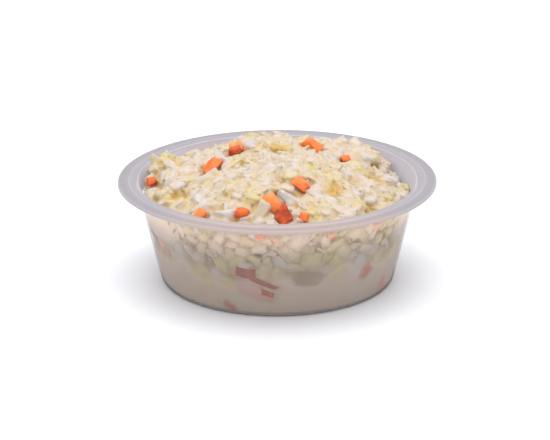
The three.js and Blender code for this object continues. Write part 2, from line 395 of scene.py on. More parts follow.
# partly painted shade: the grey veil is strongest low down and clears towards the rim
opacity = between_limits(coordinate(place, "Z"), CLEARER_FROM, CLEARER_TO, *OUTSIDE_ALPHA)
foot = between_limits(coordinate(place, "Z"), FOOT_FROM, FOOT_TO, 1.0, 0.0)
set_input(shader, "Alpha", opacity + foot * (FOOT_ALPHA - OUTSIDE_ALPHA[0]))
set_input(shader, "Base Color", mixed(foot, (*OUTSIDE, 1), (*DARK_FOOT, 1)))
print("made", outside_plastic.name)

# %% Inside wall
inside_plastic, shader, place = plastic_finish("cup_inside_plastic", INSIDE)
dip_radius = inner_wall(BARE_FROM)
dip = np.array((dip_radius * math.cos(EDGE_DIP_AT), dip_radius * math.sin(EDGE_DIP_AT), BARE_FROM)) * MM
from_dip = place.node("VectorMath", {"operation": "DISTANCE"}, {0: place, 1: tuple(dip)}, "Value")
lowered = between_limits(from_dip, 0.0, EDGE_DIP_REACH, EDGE_DIP * MM, 0.0)
above_edge = coordinate(place, "Z") + EDGE_SLOPE * coordinate(place, "Y") + lowered
set_input(shader, "Alpha", between_limits(above_edge, BARE_FROM, BARE_TO, *INSIDE_ALPHA))
print("made", inside_plastic.name)

# %% Flange
flange_plastic, shader, place = plastic_finish("cup_flange_plastic", INSIDE)
flat = place.node("VectorMath", {"operation": "MULTIPLY"}, {0: place, 1: (1, 1, 0)})
radius = flat.node("VectorMath", {"operation": "LENGTH"}, {0: flat}, output="Value")
across = between_limits(radius, MOUTH_RADIUS, RIM_RADIUS, 0.0, 1.0)
# painted highlights and painted shade across the flange
highlight_bands = across.node("ValToRGB", {"stops": FLANGE_HIGHLIGHT_BANDS}, {"Fac": across})
# the painted glow of light from the slaw, strongest at the front
glowing_bands = highlight_bands.node("VectorMath", {"operation": "MULTIPLY"}, {0: highlight_bands, 1: FRONT_GLOW})
front = between_limits(coordinate(place, "Y"), GLOW_FROM, GLOW_TO, 0.0, 1.0)
set_input(shader, "Base Color", mixed(front, highlight_bands, glowing_bands))
set_input(shader, "Alpha", FLANGE_ALPHA)
print("made", flange_plastic.name)

# %% Finish the faces of the cup
for finish in (outside_plastic, inside_plastic, flange_plastic):
    cup.data.materials.append(finish)
for face in cup.data.polygons:
    radius, z = math.hypot(face.center.x, face.center.y) / MM, face.center.z / MM
    inside = radius < outer_wall(z) - WALL / 2 and z > FOOT_SKIN - 0.1
    flange = radius > MOUTH_RADIUS + 0.2 and z > LIP_LEVEL - 0.5
    face.material_index = 2 if flange else int(inside)
finished = np.bincount([face.material_index for face in cup.data.polygons])
print("faces outside, inside and on the flange:", finished)

# %% [markdown]
# ## The form of the heap
# The heap leaves the wall a few millimetres below the rim and rises to a low crown, with a peak at the
# back, a shoulder on each side and a few hollows. The same sizes drive the CAD heap. The scene adds what is
# too fine for it: waves of several lengths for the clumps in which wet slaw falls from a spoon, small pits
# between the clumps, and on the right a dip in the edge with a clump beside it.

# %% Sizes of the heap
EDGE_LEVEL = 28.4
EDGE_SWING = 1.4
EDGE_HIGH_SIDE = -math.pi / 2
EDGE_DIP_SPREAD = math.radians(9)
CROWN_RISE = 11.0
CROWN_POWER = 2.4
MOUNDS = {  # place in plan, height and spread
    "back peak": (-4, 20, 2, 8),
    "right back shoulder": (23, 21, 2.6, 6),
    "right shoulder": (31, 12, 0.8, 6),
    "left shoulder": (-38, 10, 5, 4.5),
    "left front hollow": (-27, -9, -2.2, 5),
    "front hollow": (2, -30, -1.4, 5),
}
MOUND_FADE = 40  # how suddenly they end at the wall
PITS = [  # place in plan, depth and spread
    (-30.5, -17, 1.9, 2.4),
    (0.5, 5, 2.2, 2.0),
    (17.6, -23, 1.9, 1.9),
    (30, -9, 1.4, 2.2),
    (29, -27, 1.3, 2),
]
DIPS = [(40, 6, 1.5, 4), (31, 17, -1.8, 4)]  # the same, and a clump that stands up
CLUMP_WAVES = 14
CLUMP_HEIGHT = 0.13
SEED = 20261125
rng = np.random.default_rng(SEED)
clump_length = rng.uniform(7, 16, CLUMP_WAVES)
clump_heading = rng.uniform(0, 2 * math.pi, CLUMP_WAVES)
clump_phase = rng.uniform(0, 2 * math.pi, CLUMP_WAVES)
print("mounds:", list(MOUNDS))


# %% Heap heights
def even_edge(angle):
    """Height of the heap's edge without its dip, in mm."""
    return EDGE_LEVEL + EDGE_SWING * np.cos(angle - EDGE_HIGH_SIDE)


def edge_level(angle):
    """Height at which the heap leaves the wall, in mm."""
    from_dip = (angle - EDGE_DIP_AT + math.pi) % (2 * math.pi) - math.pi
    return even_edge(angle) - EDGE_DIP * np.exp(-((from_dip / EDGE_DIP_SPREAD) ** 2) / 2)


def clumps(x, y):
    """Uneven clumps over the heap, in mm."""
    along = x[..., None] * np.cos(clump_heading) + y[..., None] * np.sin(clump_heading)
    return CLUMP_HEIGHT * np.sin(2 * math.pi * along / clump_length + clump_phase).sum(-1)


def rounded(form, x, y):
    """Height of a rounded form here, from its place in plan, its height and its spread."""
    at_x, at_y, height, spread = form
    return height * np.exp(-((x - at_x) ** 2 + (y - at_y) ** 2) / (2 * spread**2))


def in_pit(x, y):
    return sum(rounded(pit, x, y) for pit in PITS)


def heap_height(x, y):
    """Height of the bare heap over a place in plan, in mm."""
    angle = np.arctan2(y, x)
    share = np.minimum(1, np.hypot(x, y) / inner_wall(edge_level(angle)))
    edge = EDGE_LEVEL + (edge_level(angle) - EDGE_LEVEL) * share
    rise = CROWN_RISE * (1 - share**CROWN_POWER)
    bumps = clumps(x, y) - in_pit(x, y) - sum(rounded(dip, x, y) for dip in DIPS)
    for mound in MOUNDS.values():
        bumps = bumps + rounded(mound, x, y)
    return edge + rise + bumps * (1 - share**MOUND_FADE)


def heap_normal(x, y, step=0.6):
    """Direction out of the bare heap over a place in plan."""
    slope_x = (heap_height(x + step, y) - heap_height(x - step, y)) / (2 * step)
    slope_y = (heap_height(x, y + step) - heap_height(x, y - step)) / (2 * step)
    normal = np.stack([-slope_x, -slope_y, np.ones_like(x)], -1)
    return normal / np.linalg.norm(normal, axis=-1, keepdims=True)


crown = heap_height(np.zeros(1), np.zeros(1))
print("bare crown at", crown.round(1), "mm")

# %% [markdown]
# ## One bit of each kind
# Chopped cabbage falls into a few kinds: thin curved chips of leaf, blocky dice of rib, narrow shreds, and
# fine crumbs. Carrot falls into dice. Each kind is modelled once at a size of one, from a primitive that is
# cut, roughened and rounded. A few dozen faces are enough, because each bit covers only a few pixels and is
# shaded smooth.

# %% Modelling helpers
def roughened(amount, seed):
    """Moves the vertices of the bit in hand a little at random, as an uneven cut does."""
    with editing():
        bpy.ops.transform.vertex_random(offset=amount, uniform=0.0, normal=0.0, seed=seed)


def subdivided():
    with editing():
        bpy.ops.mesh.subdivide(number_cuts=1)


def with_modifier(bit, kind, **settings):
    """Adds a modifier with its settings and applies it."""
    modifier = bit.modifiers.new(kind.lower(), kind)
    for key, value in settings.items():
        setattr(modifier, key, value)
    bpy.context.view_layer.objects.active = bit
    bpy.ops.object.modifier_apply(modifier=modifier.name)


def read_numbers(rows, what, across, kind=float):
    """Reads one number, or a few across, from every vertex, edge or corner of a mesh."""
    numbers = np.empty(len(rows) * across, kind)
    rows.foreach_get(what, numbers)
    return numbers.reshape(-1, across)


def taken_up(bit):
    """Takes a bit up as its vertices, triangles and map, and removes it."""
    with editing():
        bpy.ops.mesh.normals_make_consistent(inside=False)
        bpy.ops.mesh.quads_convert_to_tris()
        bpy.ops.uv.smart_project(angle_limit=1.15, island_margin=0.03, scale_to_bounds=True)
    points = read_numbers(bit.data.vertices, "co", 3)
    corners = read_numbers(bit.data.loops, "vertex_index", 1, int).reshape(-1, 3)
    places = read_numbers(bit.data.uv_layers.active.uv, "vector", 2).reshape(-1, 3, 2)
    bpy.data.objects.remove(bit)
    return points, corners, places


print("modelling helpers ready")


# %% Leaf chip and rib die
def leaf_chip(seed):
    """A thin chip of cabbage leaf with an uneven, angular outline."""
    bit = started(bpy.ops.mesh.primitive_grid_add, size=1, x_subdivisions=4, y_subdivisions=3)
    roughened(0.14, seed)
    with_modifier(bit, "SOLIDIFY", thickness=0.26, offset=0)
    return taken_up(bit)


def rib_die(seed):
    """A blocky die of cabbage rib with worn corners."""
    bit = started(bpy.ops.mesh.primitive_cube_add, size=1)
    subdivided()
    with_modifier(bit, "CAST", factor=0.15)
    roughened(0.2, seed)
    return taken_up(bit)


print("chip and die ready to make")

# %% Shred, crumb and carrot die
SHRED_LENGTHS = 5
VARIANTS = 4  # how many of each kind are modelled


def shred(seed):
    """A narrow strip of cabbage, made of a few lengths so that it can bend."""
    bit = started(bpy.ops.mesh.primitive_cube_add, size=1)
    bpy.ops.object.mode_set(mode="EDIT")
    for _ in range(SHRED_LENGTHS - 1):
        bpy.ops.mesh.select_all(action="DESELECT")
        bpy.ops.object.mode_set(mode="OBJECT")
        for face in bit.data.polygons:
            face.select = face.normal.x > 0.9
        bpy.ops.object.mode_set(mode="EDIT")
        bpy.ops.mesh.extrude_region_move(TRANSFORM_OT_translate={"value": (1, 0, 0)})
    bpy.ops.mesh.select_all(action="SELECT")
    bpy.ops.transform.translate(value=((1 - SHRED_LENGTHS) / 2, 0, 0))
    bpy.ops.transform.resize(value=(1 / SHRED_LENGTHS, 1, 1), center_override=(0, 0, 0))
    bpy.ops.object.mode_set(mode="OBJECT")
    roughened(0.09, seed)
    return taken_up(bit)


def crumb(seed):
    """A fine crumb of cabbage."""
    bit = started(bpy.ops.mesh.primitive_ico_sphere_add, subdivisions=1, radius=0.55)
    roughened(0.2, seed)
    return taken_up(bit)


def carrot_die(seed):
    """A die of carrot: cut faces, uneven corners and slightly softened edges."""
    bit = started(bpy.ops.mesh.primitive_cube_add, size=1)
    roughened(0.22, seed)
    subdivided()
    roughened(0.1, seed + VARIANTS)
    with_modifier(bit, "BEVEL", width=0.05, segments=1)
    return taken_up(bit)


SHAPES = {
    make.__name__: [make(seed) for seed in range(1, VARIANTS + 1)]
    for make in (leaf_chip, rib_die, shred, crumb, carrot_die)
}
print("triangles in one bit:", {name: len(shapes[0][1]) for name, shapes in SHAPES.items()})

# %% [markdown]
# ## Thousands of copies
# Each copy gets its own size, bend, wave and taper, then it is turned, laid in place, and pressed flat
# where it would go through the wall. All copies of a kind are joined into one mesh. A number on every
# vertex says how white, yellow or green its bit is, and each bit has its own small square on the map.

# %% Turn, bend and press
def turned(normal, spin, tilt, heading):
    """Rotations that lay bits on a surface, spun on it and tilted out of it."""
    up = np.where(np.abs(normal[:, 2:]) < 0.7, [[0, 0, 1.0]], [[0, 1.0, 0]])
    aside = np.cross(up, normal)
    aside /= np.linalg.norm(aside, axis=1, keepdims=True)
    across = np.cross(normal, aside)
    axis = aside * np.cos(heading)[:, None] + across * np.sin(heading)[:, None]
    top = normal * np.cos(tilt)[:, None] + np.cross(axis, normal) * np.sin(tilt)[:, None]
    long = axis * np.cos(spin)[:, None] + np.cross(top, axis) * np.sin(spin)[:, None]
    return np.stack([long, np.cross(top, long), top], axis=2)


def bent(points, size, wild):
    """Copies of a bit at their sizes, each tapered, skewed, bent and waved its own way."""
    count = len(size)

    def draw(low, high):
        return rng.uniform(low, high, (count, 1)) * wild

    x, y, z = (np.repeat(points[None, :, i], count, 0) for i in range(3))
    y = y * (1 + draw(-0.5, 0.5) * x) + draw(-0.35, 0.35) * x
    x = x * (1 + draw(-0.35, 0.35) * y)
    x, y, z = x * size[:, :1], y * size[:, 1:2], z * size[:, 2:]
    length, width = size[:, :1], size[:, 1:2]
    z = z + draw(-0.5, 0.5) * (x**2 / length) + draw(-0.4, 0.4) * (y**2 / width)
    z = z + 0.07 * length * np.sin(draw(3, 7) * x / length + draw(0, 6)) * np.cos(draw(2, 5) * y / width)
    return np.stack([x, y, z], -1)


def pressed(points, reach):
    """Points moved in to the wall, or a little into it by reach, where they would go through it."""
    radius = np.hypot(points[..., 0], points[..., 1])
    limit = inside_limit(np.clip(points[..., 2], FOOT_SKIN, CUP_HEIGHT)) + reach
    scale = np.minimum(1, limit / np.maximum(radius, 1e-6))
    low = np.maximum(points[..., 2], FOOT_SKIN + 0.1)
    return np.stack([points[..., 0] * scale, points[..., 1] * scale, low], -1)


print("copying helpers ready")


# %% Join the copies of one kind
def bits_mesh(name, kind, place, normal, size, tint, reach, spin, tilt, heading, wild=1):
    """Joins copies of a kind of bit into one piece. Places and sizes are in mm."""
    count = len(place)
    variant = np.arange(count) % VARIANTS
    cells = math.ceil(math.sqrt(count))
    points, corners, maps, tints, start = [], [], [], [], 0
    for number, (shape, triangles, places) in enumerate(SHAPES[kind]):
        mine = np.flatnonzero(variant == number)
        turn = turned(normal[mine], spin[mine], tilt[mine], heading[mine])
        copies = np.einsum("nij,nvj->nvi", turn, bent(shape, size[mine], wild)) + place[mine, None]
        copies = pressed(copies, reach[mine, None])
        points.append(copies.reshape(-1, 3))
        offsets = start + len(shape) * np.arange(len(mine))
        corners.append((triangles[None] + offsets[:, None, None]).reshape(-1, 3))
        cell = np.stack([mine % cells, mine // cells], -1)
        maps.append(((places[None] + cell[:, None, None]) / cells).reshape(-1, 2))
        tints.append(np.repeat(tint[mine], len(shape)))
        start += len(shape) * len(mine)
    mesh = bpy.data.meshes.new(name)
    mesh.from_pydata(np.concatenate(points) * MM, [], np.concatenate(corners))
    mesh.attributes.new("tint", "FLOAT", "POINT").data.foreach_set("value", np.concatenate(tints))
    layer = mesh.uv_layers.new(name="OFBake")
    layer.uv.foreach_set("vector", np.concatenate(maps).ravel())
    mesh.shade_smooth()
    piece = bpy.data.objects.new(name, mesh)
    bpy.context.collection.objects.link(piece)
    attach(piece, "root")
    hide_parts("coleslaw")
    print(name, ":", count, "bits,", len(mesh.polygons), "triangles")
    return piece


# %% Places on the heap and along the wall
GOLDEN_ANGLE = math.pi * (3 - math.sqrt(5))


def over_heap(count, shift):
    """Places in plan spread evenly over the heap, each moved a little at random."""
    number = np.arange(count) + 0.5
    angle = number * GOLDEN_ANGLE + shift
    radius = inner_wall(edge_level(angle)) * np.sqrt(number / count)
    x = radius * np.cos(angle) + rng.normal(0, 0.8, count)
    y = radius * np.sin(angle) + rng.normal(0, 0.8, count)
    return x, y


def on_heap(x, y, lift):
    """Places on the heap and the directions out of it, raised by lift."""
    normal = heap_normal(x, y)
    place = np.stack([x, y, heap_height(x, y)], -1) + normal * lift[:, None]
    return place, normal


def along_wall(angle, z, depth):
    """Places inside the wall at a depth from it, and the directions out through it."""
    radius = inner_wall(z) - depth
    place = np.stack([radius * np.cos(angle), radius * np.sin(angle), z], -1)
    slant = math.atan(DRAFT)
    level = math.cos(slant)
    normal = np.stack([np.cos(angle) * level, np.sin(angle) * level, angle * 0 - math.sin(slant)], -1)
    return place, normal


def sizes(count, length, width, thickness):
    """Random sizes. Most are short, width is a share of length, and thickness of width."""
    long = length[0] + (length[1] - length[0]) * rng.beta(1.3, 2.6, count)
    wide = long * rng.uniform(*width, count)
    thick = wide * rng.uniform(*thickness, count)
    return np.stack([long, wide, thick], -1)


def random_turns(count, lean):
    """Random spins, tilts and headings."""
    spin = rng.uniform(0, 2 * math.pi, count)
    tilt = np.abs(rng.normal(0, lean, count))
    heading = rng.uniform(0, 2 * math.pi, count)
    return spin, tilt, heading


def set_by_hand(name, kind, place, normal, size, spin, lean, tint, reach, wild):
    """Joins bits that are set one by one, with their spins in degrees, into one piece."""
    even = np.zeros(len(place))
    turn = np.radians(spin)
    return bits_mesh(name, kind, place, normal, size, tint, even + reach, turn, even + lean, even, wild)


print("placing helpers ready")

# %% [markdown]
# ## Where the carrot lies
# Carrot is much stronger in colour than the rest, so its places decide how the heap looks. They are settled
# first, and the cabbage then keeps clear of them.

# %% Carrot places on the heap
# place in plan, length, width and thickness, spin in degrees, lean to the front, paleness and lift
CARROTS_ON_HEAP = [
    (-12.8, 9, 4, 2.8, 2.2, 0, 0.6, 0.9, 2.1),
    (-13, 4.5, 3.6, 2.6, 2.2, -20, 0.7, 0.25, 1.9),
    (-20, -5.5, 5.8, 3.6, 2.4, 40, 0.6, 0.6, 1.4),
    (-39.2, 0, 2.6, 2.1, 2, 0, 0.6, 0.45, 1.9),
    (21.2, 6.3, 2.8, 1.8, 1.8, 30, 0.6, 0.6, 1.9),
    (11.3, 11, 5.8, 3.6, 3, -25, 0.6, 0.65, 1.7),
    (7, -23, 5.2, 3.2, 2.4, -30, 0.6, 0.65, 1.8),
    (-1.6, -31, 5.8, 3.4, 2.4, -40, 0.7, 0.9, 1.3),
    (2, -37, 5, 4.4, 3, -60, 0.8, 0.2, 1.6),
    (-23.2, -33, 4.2, 3.2, 2.4, 20, 0.6, 0.8, 1.6),
    (-10.6, -35, 3.6, 3, 2.2, -10, 0.7, 0.35, 1.5),
    (7.6, -38.4, 2.6, 2.3, 2, 0, 0.8, 0.5, 2.3),
    (-17, 33.5, 5, 3.4, 2.4, 15, -0.6, 0.5, 1),
    (14, 33, 4.2, 3, 2.2, -30, -0.6, 0.7, 1.4),
    (29, 28, 4.6, 3, 2.2, 40, -0.5, 0.4, 1.2),
    (-25, 31, 3.4, 2.6, 2, 0, -0.5, 0.6, 1.2),
]
on_top = np.array(CARROTS_ON_HEAP, float)
print("carrot dice on the heap:", len(on_top))

# %% [markdown]
# ## Cabbage on the heap
# The bits lie in every direction, most of them nearly flat and some on edge. Larger chips and dice make the
# body of the heap, shreds run over them, and fine crumbs fill what is between.

# %% Scatter on the heap
CLEAR_IN_FRONT = 1.5  # bits stay further from a carrot die in front of it
CLEAR_SHARE = 0.42  # how near they come, as a share of both lengths
PIT_BOTTOM = 0.9  # depth from which a pit is kept clear too
HIDDEN_DEPTH = 1.8  # how deep the bits lie that would be in the way
EDGE_DROP = 1.3  # how much lower the bits lie at the wall than on the crown
WALL_GAP = 0.9  # how far the bits on the heap stay from the wall
STEEPEST = 0.5  # tilt in radians
TINT_PATCHES = 0.28  # how much the tint changes from patch to patch


def scatter_on_heap(name, kind, count, length, width, thickness, lift, lean, green):
    """Spreads bits of a kind over the heap. Those that would hide a carrot or fill a pit lie deeper."""
    x, y = over_heap(count, rng.uniform(0, 6))
    size = sizes(count, length, width, thickness)
    apart = np.hypot(x[:, None] - on_top[:, 0], 0.75 * (y[:, None] - on_top[:, 1] + CLEAR_IN_FRONT))
    hides = (apart < (on_top[:, 2] + size[:, :1]) * CLEAR_SHARE).any(1) | (in_pit(x, y) > PIT_BOTTOM)
    outward = (np.hypot(x, y) / MOUTH_RADIUS) ** 4
    raised = rng.uniform(*lift, count) - EDGE_DROP * outward
    place, normal = on_heap(x, y, np.where(hides, -HIDDEN_DEPTH, raised))
    patches = TINT_PATCHES * np.sin(x / 3.7 + 1) * np.sin(y / 4.3 + x / 9)
    tint = np.clip(0.9 * rng.beta(*green, count) - 0.025 + patches, 0, 0.95)
    spin, tilt, heading = random_turns(count, lean)
    flatter = np.where(hides, 0.2, 1 - 0.95 * np.minimum(outward, 1))
    tilt = np.minimum(tilt, STEEPEST) * flatter
    return bits_mesh(name, kind, place, normal, size, tint, np.full(count, -WALL_GAP), spin, tilt, heading)


print("steepest bit:", STEEPEST, "radians")

# %% Larger pieces
SUNK = 0.8  # how deep the pieces set one by one sink into the cream
LEAF_SWELL = 3  # a larger piece is thicker than a chip
# place in plan, length, width and thickness, spin in degrees, lean to the front, tint and lift
SHOWING_PIECES = [
    (-21, -13, 9, 5, 1.6, 10, 0.6, 0, 1),
    (-4, -17, 8.5, 4, 1.6, 25, 0.7, 0.05, 1.2),
    (4.3, -30.5, 8.5, 3, 1.6, -52, 0.8, 0, 1.5),
    (-4.8, -36, 6.4, 3.4, 2, 55, 0.8, 0.35, 1),
    (-31, -18, 7, 4.6, 1.2, 20, 0.6, 0.8, 0.9),
    (-38, 7, 5, 4, 1.2, 40, 0.8, 0.5, 0.8),
    (6, -40, 3.4, 2.2, 1.4, 70, 1, 0.1, 1),
    (17.5, -22, 6, 4, 1.2, -15, 0.6, 0.85, 0.8),
    (-15.5, -35.5, 7.5, 3.8, 1.6, 5, 0.8, 0, 1),
    (24, 17, 6, 4.4, 2, 30, 0.6, 0.1, 1.2),
    (-7, 22, 7, 4.5, 1.2, 15, 0.7, 0.65, 0.8),
    (0.5, 5, 7, 5, 1.8, -30, 0.6, 0.1, 0.8),
    (27, -14, 8, 3, 1.6, -20, 0.6, 0, 1),
    (14, -33, 5, 2.6, 1.2, 25, 0.7, 0.5, 0.8),
    (-27, 3, 7, 4.6, 1.6, 20, 0.6, 0.1, 0.9),
]
shown = np.array(SHOWING_PIECES, float)
on_it = on_heap(shown[:, 0], shown[:, 1], shown[:, 8] - SUNK)
size = shown[:, 2:5] * (1, 1, LEAF_SWELL)
showing = set_by_hand("large_cabbage_pieces", "leaf_chip", *on_it, size, *shown[:, 5:8].T, -WALL_GAP, 1)

# %% Chips, dice, shreds and crumbs
ON_HEAP = {  # kind, how many, length, width and thickness, lift, lean and tint
    "cabbage_chips": ("leaf_chip", 950, (3.5, 7.4), (0.45, 0.8), (0.7, 1.2), (-1.7, 0.8), 0.45, (1.6, 2.0)),
    "cabbage_dice": ("rib_die", 1100, (2.5, 5.5), (0.5, 0.85), (0.5, 0.8), (-1.5, 0.9), 0.5, (1.1, 2.4)),
    "cabbage_shreds": ("shred", 240, (4, 9), (0.2, 0.35), (0.6, 0.9), (-0.8, 0.4), 0.35, (1.3, 2.3)),
    "cabbage_crumbs": ("crumb", 900, (1.2, 2.6), (0.7, 1), (0.6, 1), (-0.8, 0.3), 1.2, (1.2, 2.4)),
}
cabbage_on_top = [scatter_on_heap(name, *settings) for name, settings in ON_HEAP.items()]
cabbage_on_top.append(showing)

# %% [markdown]
# ## Cabbage against the wall
# Through the plastic, bits lie flat against the wall above the level to which the dressing has settled.
# Below that level only a few bits reach the wall. Here and there cream is smeared over the plastic and
# hides them, a few patches of them are green, and low down one pocket between them is empty.

# %% Dressing level, pockets and smears
DRESSING_LEVEL = 12.6
LEVEL_WAVES = [(2, 1.6), (5, 1.2), (9, 1.0), (14, 0.9), (23, 0.7)]  # waves round the cup, and their heights
level_phase = rng.uniform(0, 2 * math.pi, len(LEVEL_WAVES))
# angle in degrees, height, half width and half height
POCKETS = [(-75.5, 12.6, 4.3, 2.2)]
SMEARS = [(-156, 24, 17, 7), (-12, 23, 14, 8), (75, 22, 8, 5)]


def dressing_level(angle):
    """Height to which the dressing lies against the wall, in mm."""
    waves = [high * np.sin(turns * angle + phase) for (turns, high), phase in zip(LEVEL_WAVES, level_phase)]
    return DRESSING_LEVEL + sum(waves)


def in_patches(patches, angle, z):
    """How far a place at the wall lies in one of some round patches, from 0 to 1."""
    share = 0
    for at, level, width, tall in patches:
        far = ((angle - math.radians(at)) * inner_wall(z) / width) ** 2 + ((z - level) / tall) ** 2
        share = np.maximum(share, np.clip(1.5 - far, 0, 1))
    return share


print("dressing settled to about", DRESSING_LEVEL, "mm")

# %% Scatter along the wall
GREEN_PLACES = [(-109, 19.5, 3.4), (-68, 20.5, 4.0), (-59, 25.5, 3.0)]  # angle in degrees, height and size
LOWEST = 2.5
LOW_SHARE = 0.06  # share of the bits that reach the wall below the dressing's level
WALL_LEAN = 0.25
STICKS_UP = 0.8  # how far a bit at the wall may stand above the edge of the heap


def scatter_on_wall(name, kind, count, length, width, thickness, green):
    """Spreads bits of a kind against the wall, most of them above the dressing."""
    angle = (np.arange(count) * GOLDEN_ANGLE) % (2 * math.pi) - math.pi
    z = LOWEST + (even_edge(angle) - 2) * (np.arange(count) + rng.uniform(0, 1, count)) / count
    keep = (z > dressing_level(angle)) | (rng.uniform(0, 1, count) < LOW_SHARE)
    keep &= (in_patches(POCKETS, angle, z) < 0.05) & (in_patches(SMEARS, angle, z) < 0.7)
    angle, z = angle[keep], z[keep]
    count = len(z)
    size = sizes(count, length, width, thickness)
    depth = size[:, 2] * rng.uniform(0.35, 1.1, count)
    place, _ = along_wall(angle, z, depth)
    tint = rng.beta(*green, count)
    for at, level, spread in GREEN_PLACES:
        there, _ = along_wall(np.radians([at]), np.array([float(level)]), 0)
        tint = np.where(np.linalg.norm(place - there, axis=1) < spread, rng.uniform(0.85, 1, count), tint)
    spin, tilt, heading = random_turns(count, WALL_LEAN)
    half_height = (size[:, 0] * np.abs(np.sin(spin)) + size[:, 1] * np.abs(np.cos(spin))) / 2
    place, normal = along_wall(angle, np.minimum(z, edge_level(angle) + STICKS_UP - half_height), depth)
    reach = -0.8 * rng.beta(1, 2, count)
    return bits_mesh(name, kind, place, normal, size, tint, reach, spin, tilt, heading)


wall_chips = scatter_on_wall("wall_chips", "leaf_chip", 420, (6, 15), (0.5, 0.9), (0.8, 1.2), (1.8, 1.8))
wall_dice = scatter_on_wall("wall_dice", "rib_die", 420, (3.5, 9), (0.5, 0.9), (0.5, 0.8), (1.2, 2.2))
cabbage_at_wall = [wall_chips, wall_dice]

# %% [markdown]
# ## Set the carrot
# The dice that show are set one by one, on the heap and against the wall, and a few more lie round the
# back. Those on the heap stand out of the cream. At the wall some show clearly, and the others through a
# veil of cream.

# %% Set the carrot dice
# angle in degrees, height, length, width and thickness, spin, paleness, and how clearly it shows
CARROTS_AT_WALL = [
    (-154, 17.2, 4.4, 2.8, 1.6, 10, 0.7, 0.6),
    (-97, 28.4, 2.6, 2.6, 1.8, 20, 0.55, 0.7),
    (-91, 26.2, 2.2, 1, 1.4, -40, 0.7, 0.5),
    (-66.8, 27, 1.7, 1.4, 1.6, 0, 0.75, 0.6),
    (-42.5, 27, 3.6, 1.6, 1.6, 8, 0.6, 0.5),
    (-104, 15.2, 5.8, 3.8, 2, -12, 0, 1),
    (-96.5, 11.9, 8.4, 1.6, 1.6, -25, 0.03, 1),
    (-100.5, 9.6, 6, 2.2, 1.6, -25, 0.25, 0.3),
    (-94.7, 8.4, 4, 1.8, 1.6, -22, 0.12, 1),
    (-113.6, 2.9, 3, 1.6, 1.6, -35, 0.2, 0.8),
    (-46, 12.8, 2.4, 2, 1.6, 35, 0.25, 0.8),
    (-29.3, 4.5, 2, 2.8, 1.6, 0, 0.4, 0.55),
    (35, 22, 4, 3, 1.8, 30, 0.5, 0.7),
    (80, 14, 5.5, 3, 1.8, -20, 0.2, 1),
    (120, 25, 3.6, 3, 1.8, 10, 0.8, 0.7),
    (150, 9, 4, 2.8, 1.6, -40, 0.4, 0.8),
]
DIE_DEPTH = 0.1  # depth of a die's middle behind the wall, as a share of its thickness
CARROT_GAP = 0.6  # how far the dice on the heap stay from the wall
CARROT_WILD = 0.5  # carrot is firm, so it is bent less than cabbage
at_wall = np.array(CARROTS_AT_WALL, float)
on_it = on_heap(on_top[:, 0], on_top[:, 1], on_top[:, 8] - SUNK)
size = on_top[:, 2:5]
carrots = set_by_hand("carrot_dice", "carrot_die", *on_it, size, *on_top[:, 5:8].T, -CARROT_GAP, CARROT_WILD)
wall_place, wall_normal = along_wall(np.radians(at_wall[:, 0]), at_wall[:, 1], at_wall[:, 4] * DIE_DEPTH)
size, spin, pale = at_wall[:, 2:5], at_wall[:, 5], at_wall[:, 6]
wall_carrots = set_by_hand(
    "wall_carrot_dice", "carrot_die", wall_place, wall_normal, size, spin, 0, pale, 0, CARROT_WILD
)

# %% [markdown]
# ## The dressing
# Thick cream coats the bits, fills what lies between them and settles against the wall low down. A core
# stands for all that is inside. It is joined to copies of the bits, remade as one skin by a voxel remesh,
# and smoothed: the skin sinks a little at every bit and fills the crevices, as cream does. Low down it is
# laid against the wall.

# %% Sizes and helpers for the core
CORE_RINGS = 10
CORE_STEPS = 120
CORE_BELOW = 2.2  # how far the core lies below the heap's surface
DOME_MARK = 40.0  # height at which the rings of the dome wait for their own
WALL_REACH = 0.08  # how far the dressing goes into the wall, so that no air shows
RECESS = 2.0  # how far the core stands back from the wall above the dressing
RECESS_OVER = 5.0
POCKET_DEPTH = 2.2


def mesh_places(piece, what="co"):
    """The vertices of a piece in mm, or their normals."""
    return read_numbers(piece.data.vertices, what, 3) / (MM if what == "co" else 1)


def set_places(piece, points):
    piece.data.vertices.foreach_set("co", (points * MM).ravel())


def round_axis(points):
    """Angle and radius of points round the cup's axis."""
    return np.arctan2(points[:, 1], points[:, 0]), np.hypot(points[:, 0], points[:, 1])


print("core: rings", CORE_RINGS, "steps", CORE_STEPS)

# %% The core of the heap
side_heights = np.linspace(FOOT_SKIN + 1.2, EDGE_LEVEL, 22)
core_section = [
    (0, FLOOR_LEVEL - 0.1),
    (FLOOR_EDGE - 0.5, FLOOR_LEVEL - 0.1),
    (FLOOR_EDGE + 1, FOOT_SKIN - 0.1),
    (inner_wall(FOOT_SKIN) - 1.2, FOOT_SKIN - 0.1),
]
core_section += [(inner_wall(z), z) for z in side_heights]
core_section += [(inner_wall(EDGE_LEVEL) * i / CORE_RINGS, DOME_MARK) for i in range(CORE_RINGS - 1, -1, -1)]
dressing = spun("dressing", [np.array(point, float) for point in core_section], CORE_STEPS)
points = mesh_places(dressing)
x, y, z = points.T
angle, radius = round_axis(points)
dome = z > DOME_MARK - 1
side = (z > FOOT_SKIN + 1) & ~dome
share = (z - FOOT_SKIN) / (EDGE_LEVEL - FOOT_SKIN)
z_side = FOOT_SKIN + share * (edge_level(angle) - FOOT_SKIN)
above = np.clip((z_side - dressing_level(angle)) / RECESS_OVER, 0, 1)
above = above * (1 - in_patches(SMEARS, angle, z_side))
above = above + in_patches(POCKETS, angle, z_side) * POCKET_DEPTH / RECESS
r_side = inner_wall(z_side) + WALL_REACH - RECESS * above
z_dome = heap_height(x, y) - CORE_BELOW
r_dome = np.minimum(radius, inner_wall(edge_level(angle)) - RECESS)
new_radius = np.where(dome, r_dome, np.where(side, r_side, radius))
new_z = np.where(dome, z_dome, np.where(side, z_side, z))
